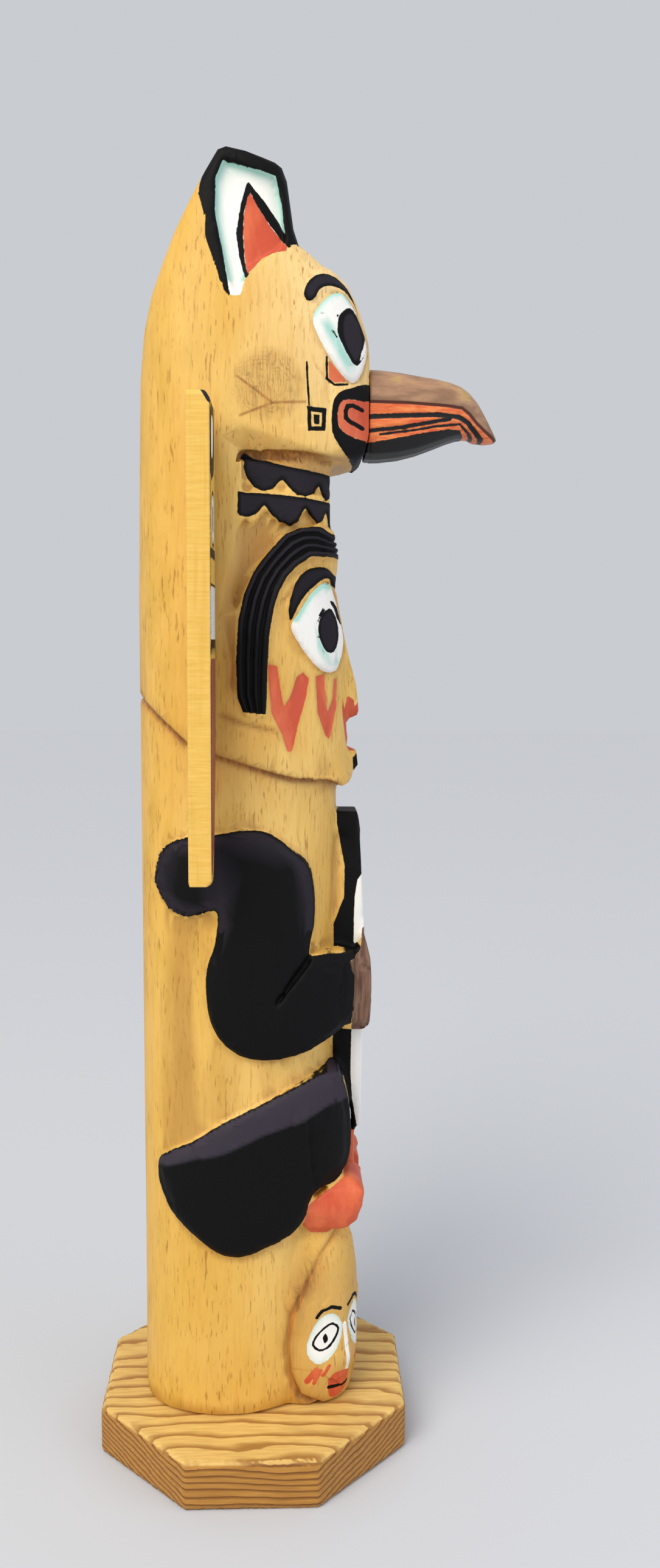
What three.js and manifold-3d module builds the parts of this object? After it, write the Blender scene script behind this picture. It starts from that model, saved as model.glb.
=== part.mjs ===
// A carved and painted model totem pole on an eight-sided board.
//
// Millimetres, +Z up. The origin is the centre of the board's underside, where the whole work stands.
// The figures face -Y. Side views are drawn as [front, height]: front is the distance towards -Y.

import * as THREE from "three";
import { mergeVertices } from "three/addons/utils/BufferGeometryUtils.js";
import ManifoldModule from "manifold-3d";

const wasm = await ManifoldModule();
wasm.setup();

// ---- Driving dimensions ----

const BASE_WIDTH = 127;
const BASE_THICKNESS = 20;
const ARRIS = 0.8;
const JOINT_GAP = 0.3;

const LOG_AXIS = -9;
const LOG_BACK = -46.4;
const LOG_SIDES = 30;
const BACK_SQUARENESS = 2.6;
const FRONT_SQUARENESS = 2.25;
const BODY_HALF_WIDTH = 34.5;
const FIGURE_HALF_WIDTH = 37;
const HEAD_HALF_WIDTH = 35.5;

const LIMB_RELIEF = 4;
const LIMB_STEP = 1.8;
const LIMB_BEVEL = 2.2;
const HAIR_RELIEF = 1.6;
const HAIR_RIDGES = 4;
const HAIR_STEPS = 9;
const BROW_RELIEF = 1.3;
const EYE_RELIEF = 1.2;
const FACE_RECESS = 1.6;
const NECK_RECESS = 4.2;
const EAR_HOLLOW = 3.4;

const EAR_GAP = 26;
const BEAK_JOINT = 45;
const BEAK_TIP = 97;
const BEAK_ROOT_HALF_WIDTH = 16.5;
const BEAK_TIP_HALF_WIDTH = 3.5;

const WING_SPAN = 126;
const WING_TOP = 425.5;
const WING_FOOT = 247.5;
const WING_FACE = -14;
const WING_THICKNESS = 9;

const POLE_FOOT = BASE_THICKNESS + JOINT_GAP;
const BEYOND = 70;

// ---- Turning three.js shapes into solids and back ----

function solidOf(geometry) {
  const bare = geometry.clone();
  bare.deleteAttribute("normal");
  bare.deleteAttribute("uv");
  const merged = mergeVertices(bare, 1e-4);
  const mesh = new wasm.Mesh({
    numProp: 3,
    vertProperties: Float32Array.from(merged.attributes.position.array),
    triVerts: Uint32Array.from(merged.index.array),
  });
  return new wasm.Manifold(mesh);
}

function geometryOf(solid) {
  const mesh = solid.getMesh();
  const geometry = new THREE.BufferGeometry();
  geometry.setAttribute("position", new THREE.BufferAttribute(mesh.vertProperties, 3));
  geometry.setIndex(new THREE.BufferAttribute(mesh.triVerts, 1));
  geometry.computeVertexNormals();
  return geometry;
}

function joined(solids) {
  return solids.reduce((whole, solid) => whole.add(solid));
}

function mirrored(solid) {
  return solid.mirror([1, 0, 0]);
}

function bothSides(solid) {
  return solid.add(mirrored(solid));
}

// ---- Outlines and prisms ----

function shapeOf(points) {
  return new THREE.Shape(points.map(([a, b]) => new THREE.Vector2(a, b)));
}

// A closed smooth line through a few points, sampled about every `step` millimetres.
function rounded(points, step = 6) {
  const curve = new THREE.CatmullRomCurve3(
    points.map(([a, b]) => new THREE.Vector3(a, b, 0)),
    true,
    "centripetal",
  );
  const count = Math.max(8, Math.round(curve.getLength() / step));
  return curve.getSpacedPoints(count).slice(0, count).map((p) => [p.x, p.y]);
}

// The same outline drawn in by a distance, for the top of a bevelled edge.
function drawnIn(points, distance) {
  const turn = Math.sign(THREE.ShapeUtils.area(shapeOf(points).getPoints()));
  return points.map((point, i) => {
    const before = points[(i + points.length - 1) % points.length];
    const after = points[(i + 1) % points.length];
    const along = new THREE.Vector2(after[0] - before[0], after[1] - before[1]).normalize();
    return [point[0] - turn * along.y * distance, point[1] + turn * along.x * distance];
  });
}

// A side-view outline carried across the pole, from `left` to `right` along X.
function sidePrism(points, left = -BEYOND, right = BEYOND) {
  const prism = new THREE.ExtrudeGeometry(shapeOf(points), { depth: right - left, bevelEnabled: false });
  const axes = new THREE.Matrix4().makeBasis(
    new THREE.Vector3(0, -1, 0),
    new THREE.Vector3(0, 0, 1),
    new THREE.Vector3(-1, 0, 0),
  );
  prism.applyMatrix4(axes);
  prism.translate(right, 0, 0);
  return solidOf(prism);
}

// A front-view outline [across, height] carried from `near` to `far` in front distance.
function frontPrism(points, near, far) {
  const prism = new THREE.ExtrudeGeometry(shapeOf(points), { depth: far - near, bevelEnabled: false });
  prism.rotateX(Math.PI / 2);
  prism.translate(0, -near, 0);
  return solidOf(prism);
}

// ---- Lofts: rings of points joined into one closed skin ----

function loft(rings) {
  const sides = rings[0].length;
  const positions = rings.flat(2);
  const faces = [];
  for (let r = 0; r + 1 < rings.length; r += 1) {
    for (let s = 0; s < sides; s += 1) {
      const a = r * sides + s;
      const b = r * sides + ((s + 1) % sides);
      faces.push(a, b, b + sides, a, b + sides, a + sides);
    }
  }
  const top = (rings.length - 1) * sides;
  for (let s = 1; s + 1 < sides; s += 1) {
    faces.push(0, s + 1, s);
    faces.push(top, top + s, top + s + 1);
  }
  const geometry = new THREE.BufferGeometry();
  geometry.setAttribute("position", new THREE.Float32BufferAttribute(positions, 3));
  geometry.setIndex(faces);
  return solidOf(geometry);
}

function bent(value, squareness) {
  return Math.sign(value) * Math.abs(value) ** (2 / squareness);
}

// One level of a log: flatter behind, rounder in front.
function logRing({ height, back, front, half }, relief) {
  const ring = [];
  for (let s = 0; s < LOG_SIDES; s += 1) {
    const angle = (2 * Math.PI * (s + 0.5)) / LOG_SIDES;
    const behind = Math.sin(angle) > 0;
    const squareness = behind ? BACK_SQUARENESS : FRONT_SQUARENESS;
    const reach = behind ? LOG_AXIS - back + relief : front - LOG_AXIS + relief;
    const x = (half + relief) * bent(Math.cos(angle), squareness);
    const y = -LOG_AXIS + reach * bent(Math.sin(angle), squareness);
    ring.push([x, y, height]);
  }
  return ring;
}

function logOf(levels) {
  return (relief) => loft(levels.map((level) => logRing(level, relief)));
}

// The lower log carries the holding figure. Its foot is cut back in front, behind the small head.
const lowerLog = logOf([
  { height: POLE_FOOT, back: -47, front: 25, half: 35 },
  { height: 62, back: LOG_BACK, front: 26, half: BODY_HALF_WIDTH },
  { height: 92, back: LOG_BACK, front: 32, half: BODY_HALF_WIDTH },
  { height: 205, back: LOG_BACK, front: 32.5, half: BODY_HALF_WIDTH },
  { height: 318, back: LOG_BACK, front: 34.5, half: BODY_HALF_WIDTH + 0.5 },
]);

// The limbs lie on the same log but reach further round the front.
const limbLog = logOf([
  { height: 80, back: LOG_BACK, front: 45, half: BODY_HALF_WIDTH },
  { height: 280, back: LOG_BACK, front: 47, half: BODY_HALF_WIDTH },
]);

// The upper log holds the face and the bird's head. It runs in towards the ears.
const upperLog = logOf([
  { height: 270, back: LOG_BACK, front: 43, half: FIGURE_HALF_WIDTH },
  { height: 305, back: LOG_BACK, front: 39.6, half: FIGURE_HALF_WIDTH },
  { height: 335, back: LOG_BACK, front: 38.8, half: FIGURE_HALF_WIDTH },
  { height: 360, back: LOG_BACK, front: 36.2, half: FIGURE_HALF_WIDTH },
  { height: 382, back: LOG_BACK + 0.4, front: 34.6, half: FIGURE_HALF_WIDTH },
  { height: 404, back: LOG_BACK + 0.7, front: 36, half: FIGURE_HALF_WIDTH - 0.6 },
  { height: 410, back: LOG_BACK + 0.8, front: 50, half: HEAD_HALF_WIDTH },
  { height: 445, back: LOG_BACK + 1.4, front: 50.5, half: HEAD_HALF_WIDTH },
  { height: 457, back: -44.4, front: 47.6, half: 34.9 },
  { height: 468, back: -43, front: 43.4, half: 34 },
  { height: 477, back: -42, front: 38, half: 33 },
  { height: 487, back: -40, front: 32, half: 31.6 },
  { height: 530, back: -34, front: 28, half: 27.5 },
]);

function raisedOn(log, points, relief) {
  return sidePrism(points).intersect(log(relief));
}

function sunkIn(log, points, depth) {
  return sidePrism(points).subtract(log(-depth));
}

// A limb in relief: a full outline low down, and a drawn-in one on top of it.
function limb(points) {
  const low = raisedOn(limbLog, points, LIMB_RELIEF - LIMB_STEP);
  const high = raisedOn(limbLog, drawnIn(points, LIMB_BEVEL), LIMB_RELIEF);
  return low.add(high);
}

// ---- The bird's head, the neck and the large face, all one side profile ----

const figureProfile = [
  [-55, 318], [-41.5, 311.5], [-26, 298], [-12.5, 292], [4, 287], [16.5, 283.5], [29, 282.5],
  [34.5, 279.5], [39.8, 281], [40.3, 285], [38.4, 291.5], [36.8, 294.5], [38.4, 296.5],
  [38.3, 299], [37.3, 300], [38.2, 302], [36.6, 305.5], [36.4, 320], [35.6, 336], [34, 350],
  [32, 359], [33.4, 366], [34, 371.5], [31.5, 380.5], [30, 383], [30, 405.6], [39.4, 406.2],
  [BEAK_JOINT - 2, 409.5], [BEAK_JOINT, 417.3], [BEAK_JOINT, 444.5], [44.3, 452], [42.5, 459.5],
  [40.2, 466.5], [36.5, 474], [32.3, 477.4], [26, 480.4], [16.2, 486.6], [12.6, 512.4],
  [11, 514.4], [-12.4, 520.8], [-19.6, 509], [-31, 487.6], [-38.6, 469.4], [-43, 452],
  [-45, 436], [-55, 426],
];

const earGapSide = [[30, 481], [14, 486], [-6, 489], [-60, 489], [-60, 540], [30, 540]];
const earGapFront = [
  [-EAR_GAP / 2 + 4, 480], [EAR_GAP / 2 - 4, 480], [EAR_GAP / 2, 492], [EAR_GAP / 2 + 4, 540],
  [-EAR_GAP / 2 - 4, 540], [-EAR_GAP / 2, 492],
];

const earHollow = [
  [-10.4, 514.6], [-13.4, 508], [-13.6, 495], [-11, 481], [-7, 466.6], [-4.6, 466.6],
  [-2.5, 475], [4, 478.6], [12.4, 485.6], [10.6, 502], [8.6, 509],
];

const headEye = rounded([
  [22.6, 457], [25.4, 463.2], [29.3, 467.3], [32.4, 469], [36, 467.3], [39.5, 461.8],
  [42.8, 453.5], [43.6, 448], [42, 440.5], [38.7, 435.8], [35.2, 437], [31.7, 440.4], [26.5, 448],
]);

const headBrow = rounded([
  [18.9, 467.2], [20.2, 471.8], [24, 475], [28.6, 476.2], [33, 475], [37, 471.2], [40.6, 461.5],
  [38.6, 465.6], [36, 469], [32.6, 470.6], [28.6, 470.4], [25.4, 468.6], [23, 465.2], [20.6, 464.2],
]);

// The mouth band wraps the root of the beak, and stands a little proud of the cheek.
const mouthBand = rounded([
  [47, 434.5], [37, 434], [31, 430], [30, 423], [30.6, 416.5], [34, 410.5], [38.5, 407.2], [47, 407],
]);

const faceRecess = [
  [6.5, 319], [7, 335], [9.5, 351], [13.5, 361.5], [19, 368], [27, 370.3], [45, 370.5],
  [45, 283], [19, 284], [14, 293],
];

const neckRecess = [
  [-4, 407.6], [BEYOND, 407.6], [BEYOND, 379], [26, 381.3], [18.5, 380.6], [11, 376.5], [3, 367.5],
  [-3, 357], [-6, 349], [-7.5, 352], [-5.5, 365], [-4, 381],
];

// Two rows of overlapping neck feathers. Each row is a band with round lobes along its foot.
function featherRow(back, lobes, top, root, tip) {
  const foot = [];
  let start = back;
  for (const width of lobes) {
    for (let i = 0; i <= 5; i += 1) {
      const across = i / 5;
      foot.push([start + width * across, root - (root - tip) * Math.sin(Math.PI * across) ** 0.6]);
    }
    start += width;
  }
  return [[back, top], ...foot, [start, top]];
}

const upperFeathers = featherRow(-2.6, [14, 13.4, 14], 410, 398.4, 393.4);
const lowerFeathers = featherRow(-5.6, [10, 16.5, 15], 393.6, 388.4, 381.6);

// The hair is a band bent over the face, cut into ridges that run its length.
const hairOuter = [
  [47, 378.8], [27, 381.6], [18.5, 380.9], [12.6, 378.6], [6.4, 371.4], [0.4, 363.6], [-3.2, 355],
  [-5.4, 345], [-6.2, 330], [-5.8, 316], [-2.6, 309],
];
const hairInner = [
  [47, 369.3], [29, 370.4], [22.6, 369.8], [17.4, 366.4], [13.2, 362], [10.2, 356.4], [8.2, 350],
  [6.6, 341], [5.8, 328], [5.5, 317], [5, 308.4],
];

function along(points, count) {
  const curve = new THREE.SplineCurve(points.map(([a, b]) => new THREE.Vector2(a, b)));
  return curve.getSpacedPoints(count).map((p) => [p.x, p.y]);
}

function between(first, second, share) {
  return first.map(([a, b], i) => [a + (second[i][0] - a) * share, b + (second[i][1] - b) * share]);
}

function hairRidge(index) {
  const outer = along(hairOuter, HAIR_STEPS);
  const inner = along(hairInner, HAIR_STEPS);
  const groove = 0.028;
  const from = between(outer, inner, index / HAIR_RIDGES + groove);
  const to = between(outer, inner, (index + 1) / HAIR_RIDGES - groove);
  return raisedOn(upperLog, [...from, ...to.reverse()], HAIR_RELIEF);
}

const faceBrow = rounded([
  [45, 361], [34, 362.5], [29.5, 365.8], [25.2, 366.3], [20.4, 364.6], [16.8, 360.6], [14.5, 355],
  [13.6, 349], [14.2, 344.9], [15.6, 347.3], [18, 351.6], [20.6, 355.6], [24, 358.9], [27.3, 361.2],
  [29.6, 361.3], [31.8, 358], [45, 351],
]);

const faceEye = rounded([
  [14.8, 343.2], [18.6, 349.8], [22.4, 355.7], [26.4, 359.4], [29.4, 360], [31.6, 356], [34, 347.5],
  [35.8, 337.5], [34.4, 329], [32.2, 325.7], [28.7, 325.3], [25.2, 327.4], [21, 332], [17.4, 337.2],
]);

const noseProfile = [
  [31, 354], [34.2, 350], [36.9, 337], [39.6, 328], [41.7, 319.5], [42.5, 314], [42.6, 307.2],
  [37.5, 305.6], [30, 305.6],
];
const noseFront = [
  [-2.6, 356], [2.6, 356], [4, 334], [8.6, 313], [8.2, 305], [-8.2, 305], [-8.6, 313], [-4, 334],
];
const chinPlug = [[36, 294.3], [42.4, 293.4], [43.2, 287], [41.4, 284.8], [36, 285.6]];

function upperFigures() {
  const blank = upperLog(0).intersect(sidePrism(figureProfile));
  const carved = blank
    .subtract(sidePrism(earGapSide).intersect(frontPrism(earGapFront, -60, 40)))
    .subtract(sunkIn(upperLog, earHollow, EAR_HOLLOW))
    .subtract(sunkIn(upperLog, neckRecess, NECK_RECESS))
    .subtract(sunkIn(upperLog, faceRecess, FACE_RECESS));
  const inProfile = (solid) => solid.intersect(sidePrism(figureProfile));
  const feathers = [
    inProfile(raisedOn(upperLog, upperFeathers, -2.6)),
    inProfile(raisedOn(upperLog, lowerFeathers, -1.2)),
  ];
  const features = [
    inProfile(raisedOn(upperLog, headEye, EYE_RELIEF)),
    inProfile(raisedOn(upperLog, headBrow, BROW_RELIEF)),
    inProfile(raisedOn(upperLog, mouthBand, 0.8)),
    inProfile(raisedOn(upperLog, faceBrow, BROW_RELIEF - FACE_RECESS + 0.6)),
    inProfile(raisedOn(upperLog, faceEye, EYE_RELIEF - FACE_RECESS + 0.6)),
    sidePrism(noseProfile, -10, 10).intersect(frontPrism(noseFront, 25, 50)),
    sidePrism(chinPlug, -5.5, 5.5),
  ];
  const hair = [];
  for (let i = 0; i < HAIR_RIDGES; i += 1) {
    hair.push(inProfile(hairRidge(i)));
  }
  return joined([carved, ...feathers, ...features, ...hair]);
}

// ---- The holding figure: arms, hands, the thing it holds, legs and feet ----

const arm = rounded([
  [-14, 262.8], [-3, 264.4], [6, 263.2], [15.3, 256.5], [22, 249.5], [24.4, 238], [24.2, 226],
  [22.6, 214.5], [30, 213.6], [39, 212.6], [41.6, 210.5], [41.7, 186], [33, 180], [24, 175],
  [15.5, 172.6], [5.6, 171.6], [-3, 173.2], [-10.6, 177.8], [-15.6, 185], [-18, 195], [-18.2, 208],
  [-14.6, 221], [-14, 232.5], [-20, 231.4], [-26, 229.8], [-32, 232], [-36, 237], [-39, 243.5],
  [-37.6, 251], [-34, 257.3], [-27, 261],
]);

const armCrook = [[24.5, 216], [23, 211.5], [9.4, 194.6], [8.2, 196], [20.5, 213]];

const leg = rounded([
  [-38.6, 127], [-33, 133.4], [-22.6, 139.4], [-11.6, 146.5], [4.6, 154.4], [15.5, 159.4], [25.2, 163.6],
  [31, 164.6], [35.2, 162.4], [38.4, 153], [40, 139], [39, 124], [34, 118.2], [26.6, 115.6],
  [23.4, 112.5], [21.4, 106], [17.6, 99.6], [7.3, 94.3], [-4.7, 90], [-13.4, 91.4], [-21.6, 97.2],
  [-31.4, 106.1], [-37.4, 116.4],
]);

const shinGroove = [[22.6, 147], [24, 147], [26.2, 118], [24.8, 115]];

const heldProfile = [
  [30, 268.2], [42.4, 268], [43.7, 260.4], [44.2, 243], [45.4, 220], [45.6, 176.8], [45, 132.8],
  [41.3, 131.5], [41, 138.4], [38.1, 148.8], [34.7, 157.8], [32.4, 172], [30, 180],
];
const heldFront = [
  [-8, 269], [8, 269], [8.6, 262], [6.6, 257], [9.6, 244], [11.4, 226], [10.6, 176], [8.6, 152],
  [5, 131], [-5, 131], [-8.6, 152], [-10.6, 176], [-11.4, 226], [-9.6, 244], [-6.6, 257], [-8.6, 262],
];

const handProfile = [
  [36, 209], [41.8, 209.6], [43, 215.4], [44.6, 219.4], [46.4, 213.6], [47.8, 208], [48.2, 196],
  [47.6, 181], [44.8, 178.4], [36, 179],
];
const handFront = [
  [1.6, 206], [3.4, 208.8], [9, 210], [10.4, 217.5], [12.4, 219.8], [15, 217], [16, 208.4],
  [19.4, 204], [20, 184], [17.6, 178], [3.4, 178.8], [1.6, 182],
];

const footProfile = [
  [20, 99.6], [22.4, 109.6], [27.4, 112.8], [32.1, 115.9], [38.6, 118.8], [43, 116.8], [45.1, 114.2],
  [45.1, 108.4], [43.7, 102.9], [38.9, 98.5], [33.7, 95.7], [30.6, 94.8], [24, 96],
];
const footFront = [
  [6, 96], [9, 93], [21, 94], [28, 98], [31, 106], [29, 115], [22, 120], [10, 120], [6, 116],
];

function handCreases() {
  const creases = [];
  for (let finger = 1; finger < 4; finger += 1) {
    const height = 178.5 + finger * 7.2;
    const crease = [[45.6, height], [50, height + 1.5], [50, height - 1.5]];
    creases.push(sidePrism(crease, 1, 15));
  }
  return joined(creases);
}

function holdingFigure() {
  const limbs = limb(arm).add(limb(leg));
  const lap = sidePrism([[30, 90], [60, 90], [60, 168], [30, 168]], -9, 9);
  const hand = sidePrism(handProfile, 0, 22).intersect(frontPrism(handFront, 34, 52));
  const foot = sidePrism(footProfile, 0, 34).intersect(frontPrism(footFront, 15, 50));
  return lowerLog(0)
    .add(limbs.subtract(lap))
    .subtract(sunkIn(limbLog, armCrook, -1.4))
    .subtract(sunkIn(limbLog, shinGroove, -2.4))
    .add(sidePrism(heldProfile, -14, 14).intersect(frontPrism(heldFront, 28, 50)))
    .add(bothSides(hand.subtract(handCreases())))
    .add(bothSides(foot));
}

// ---- The small head at the foot, turned towards one side ----

const SMALL_HEAD_FRONT = 21;
const SMALL_HEAD_ACROSS = -8;
const SMALL_HEAD_TURN = THREE.MathUtils.degToRad(45);
const SMALL_HEAD_SIDES = 26;

// Each level is a circle drawn out to a low ridge along the nose.
function smallHead() {
  const levels = [
    { height: POLE_FOOT, radius: 20, ridge: 0.4 },
    { height: 25, radius: 21.4, ridge: 2 },
    { height: 32, radius: 22.4, ridge: 1.4 },
    { height: 36, radius: 22.8, ridge: 2 },
    { height: 39, radius: 22.9, ridge: 4.4 },
    { height: 52, radius: 22.6, ridge: 2 },
    { height: 62, radius: 23, ridge: 1.2 },
    { height: 74, radius: 22.4, ridge: 0.4 },
    { height: 86, radius: 20.4, ridge: 0 },
    { height: 96, radius: 16.6, ridge: 0 },
    { height: 104, radius: 11, ridge: 0 },
  ];
  const rings = levels.map(({ height, radius, ridge }) => {
    const ring = [];
    for (let s = 0; s < SMALL_HEAD_SIDES; s += 1) {
      const angle = (2 * Math.PI * s) / SMALL_HEAD_SIDES;
      const fromNose = Math.atan2(Math.sin(angle), Math.cos(angle));
      const reach = radius + ridge * Math.exp(-((fromNose / 0.3) ** 2));
      const facing = -Math.PI / 2 - SMALL_HEAD_TURN + angle;
      ring.push([
        SMALL_HEAD_ACROSS + reach * Math.cos(facing),
        -SMALL_HEAD_FRONT + reach * Math.sin(facing),
        height,
      ]);
    }
    return ring;
  });
  return loft(rings);
}

// ---- The beak, glued to the flat cut on the head ----

function beak() {
  const top = new THREE.SplineCurve([
    new THREE.Vector2(42, 444.6), new THREE.Vector2(56, 444.1), new THREE.Vector2(68, 442.6),
    new THREE.Vector2(77, 441.2), new THREE.Vector2(84, 439.4), new THREE.Vector2(89.5, 436.6),
    new THREE.Vector2(93.7, 431.2), new THREE.Vector2(96.2, 424), new THREE.Vector2(BEAK_TIP, 418.6),
  ]);
  const under = new THREE.SplineCurve([
    new THREE.Vector2(42, 409.4), new THREE.Vector2(50, 409.8), new THREE.Vector2(58, 411.8),
    new THREE.Vector2(68, 415.2), new THREE.Vector2(75.4, 418), new THREE.Vector2(80, 418.7),
    new THREE.Vector2(85.5, 416.8), new THREE.Vector2(91, 416.9), new THREE.Vector2(BEAK_TIP, 417.2),
  ]);
  const stations = 11;
  const sides = 16;
  const rings = [];
  for (let i = 0; i <= stations; i += 1) {
    const share = i / stations;
    const high = top.getPoint(share);
    const low = under.getPoint(share);
    const middle = (high.y + low.y) / 2;
    const rise = Math.max(0.5, (high.y - low.y) / 2);
    const front = (high.x + low.x) / 2;
    const taper = Math.cos((share * Math.PI) / 2) ** 0.75;
    const half = BEAK_TIP_HALF_WIDTH + (BEAK_ROOT_HALF_WIDTH - BEAK_TIP_HALF_WIDTH) * taper;
    const ring = [];
    for (let s = 0; s < sides; s += 1) {
      const angle = (2 * Math.PI * (s + 0.5)) / sides;
      ring.push([half * bent(Math.cos(angle), 2.8), -front, middle + rise * bent(Math.sin(angle), 2.8)]);
    }
    rings.push(ring);
  }
  const seat = BEAK_JOINT + JOINT_GAP;
  const glueFace = [[seat, 460], [seat, 417.3], [seat - 2.4, 407], [20, 400], [20, 460]];
  return loft(rings).subtract(sidePrism(glueFace));
}

// ---- The wings, two sawn boards set against the sides ----

function wing() {
  const inner = FIGURE_HALF_WIDTH + JOINT_GAP;
  const outer = WING_SPAN / 2;
  const outline = new THREE.Shape();
  outline.moveTo(inner, 414);
  outline.quadraticCurveTo(inner + 2, WING_TOP, inner + 11, WING_TOP);
  outline.lineTo(outer - 1, WING_TOP);
  outline.lineTo(outer, WING_TOP - 1);
  outline.lineTo(outer, WING_FOOT);
  outline.lineTo(outer - 4, WING_FOOT);
  outline.quadraticCurveTo(outer - 17, WING_FOOT + 12, inner + 2, WING_FOOT + 42);
  outline.lineTo(inner, WING_FOOT + 54);
  const board = new THREE.ExtrudeGeometry(outline, {
    depth: WING_THICKNESS,
    bevelEnabled: false,
    curveSegments: 8,
  });
  board.rotateX(Math.PI / 2);
  board.translate(0, -WING_FACE + WING_THICKNESS, 0);
  const bevelledCorners = [
    [WING_FACE - 2.4, WING_TOP + 1], [WING_FACE + 1, WING_TOP + 1], [WING_FACE + 1, WING_TOP - 3],
    [WING_FACE - 0.2, WING_TOP - 3],
  ];
  const bevelledFoot = [
    [WING_FACE - 2.6, WING_FOOT - 1], [WING_FACE + 1, WING_FOOT - 1], [WING_FACE + 1, WING_FOOT + 2.4],
  ];
  return solidOf(board).subtract(sidePrism(bevelledCorners)).subtract(sidePrism(bevelledFoot));
}

// ---- The board the pole stands on ----

function base() {
  const outline = new THREE.Shape();
  const corner = BASE_WIDTH / 2 / Math.cos(Math.PI / 8) - ARRIS;
  for (let i = 0; i < 8; i += 1) {
    const angle = Math.PI / 8 + (i * Math.PI) / 4;
    const point = [corner * Math.cos(angle), corner * Math.sin(angle)];
    if (i === 0) {
      outline.moveTo(...point);
    } else {
      outline.lineTo(...point);
    }
  }
  const board = new THREE.ExtrudeGeometry(outline, {
    depth: BASE_THICKNESS - 2 * ARRIS,
    bevelThickness: ARRIS,
    bevelSize: ARRIS,
    bevelSegments: 1,
  });
  board.translate(0, 0, ARRIS);
  return solidOf(board);
}

// ---- The whole work ----

const CEDAR = { color: 0xe2bb6a, roughness: 0.62, metalness: 0 };
const CUT_CEDAR = { color: 0xefcf8a, roughness: 0.66, metalness: 0 };
const PAINTED_BEAK = { color: 0x86603c, roughness: 0.5, metalness: 0 };
const FIR = { color: 0xd3a35c, roughness: 0.7, metalness: 0 };

function piece(name, solid, finish) {
  const mesh = new THREE.Mesh(geometryOf(solid), new THREE.MeshStandardMaterial(finish));
  mesh.name = name;
  return mesh;
}

const pole = joined([upperFigures(), holdingFigure(), smallHead()]);
const rightWing = wing();

const group = new THREE.Group();
group.add(piece("base", base(), FIR));
group.add(piece("pole", pole, CEDAR));
group.add(piece("beak", beak(), PAINTED_BEAK));
group.add(piece("wing_left", rightWing, CUT_CEDAR));
group.add(piece("wing_right", mirrored(rightWing), CUT_CEDAR));

export default group;
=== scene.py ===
# A carved and painted model totem pole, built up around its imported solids.
#
# Everything is in metres, +Z up, with the figures facing -Y. Outlines of the carving and the paint are
# side views in millimetres, [front, height], where front is the distance towards -Y.

import math

import bpy
import numpy as np
from mathutils import Matrix, Vector
from mathutils.kdtree import KDTree


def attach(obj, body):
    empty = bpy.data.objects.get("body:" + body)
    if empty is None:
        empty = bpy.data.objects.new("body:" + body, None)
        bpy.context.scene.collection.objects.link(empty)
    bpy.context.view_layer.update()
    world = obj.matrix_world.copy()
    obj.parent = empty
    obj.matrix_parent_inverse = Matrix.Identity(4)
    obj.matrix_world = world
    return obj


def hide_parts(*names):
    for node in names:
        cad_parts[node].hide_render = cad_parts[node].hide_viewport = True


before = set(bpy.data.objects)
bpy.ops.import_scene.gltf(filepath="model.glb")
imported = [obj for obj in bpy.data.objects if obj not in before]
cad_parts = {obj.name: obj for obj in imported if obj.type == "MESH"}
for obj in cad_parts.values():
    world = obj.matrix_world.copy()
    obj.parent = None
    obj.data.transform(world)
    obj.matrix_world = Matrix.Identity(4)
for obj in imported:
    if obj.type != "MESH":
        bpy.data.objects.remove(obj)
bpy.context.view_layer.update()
bpy.ops.object.select_all(action="DESELECT")


# ---- Camera: level with the pole's upper third, half a metre off its right side ----

CAMERA_PLACE = Vector((-0.517, -0.0128, 0.3393))
CAMERA_TURN = 0.0356
CAMERA_TIP = -0.1171
CAMERA_ROLL = 0.0060

camera = bpy.data.objects.new("camera", bpy.data.cameras.new("camera"))
bpy.context.scene.collection.objects.link(camera)
camera.data.lens = 28.76
camera.data.sensor_width = 36
camera.data.clip_start = 0.01
aim = Vector((
    math.cos(CAMERA_TURN) * math.cos(CAMERA_TIP),
    -math.sin(CAMERA_TURN) * math.cos(CAMERA_TIP),
    math.sin(CAMERA_TIP),
))
level = aim.cross(Vector((0, 0, 1))).normalized()
upright = level.cross(aim)
across = level * math.cos(CAMERA_ROLL) + upright * math.sin(CAMERA_ROLL)
upright = upright * math.cos(CAMERA_ROLL) - level * math.sin(CAMERA_ROLL)
camera.matrix_world = Matrix.Translation(CAMERA_PLACE) @ Matrix((across, upright, -aim)).transposed().to_4x4()
bpy.context.scene.camera = camera
bpy.context.scene.view_settings.view_transform = "Standard"


# ---- Studio: a pale floor under an even sky, soft daylight from high on the right, and two weak panels ----

def linear(colour):
    """A linear colour from an sRGB hex value."""
    parts = [int(colour[i:i + 2], 16) / 255 for i in (1, 3, 5)]
    return [p / 12.92 if p <= 0.04045 else ((p + 0.055) / 1.055) ** 2.4 for p in parts] + [1.0]


def add_node(tree, kind, settings=None, inputs=None):
    """Adds a node with its settings. An input is a value, or an output that is linked to it."""
    made = tree.nodes.new(kind)
    for name, value in (settings or {}).items():
        setattr(made, name, value)
    for name, value in (inputs or {}).items():
        if isinstance(value, bpy.types.NodeSocket):
            tree.links.new(value, made.inputs[name])
        else:
            made.inputs[name].default_value = value
    return made


def new_material(name):
    """An empty node material and its output."""
    material = bpy.data.materials.new(name)
    material.use_nodes = True
    material.node_tree.nodes.clear()
    return material.node_tree, add_node(material.node_tree, "ShaderNodeOutputMaterial"), material


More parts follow.
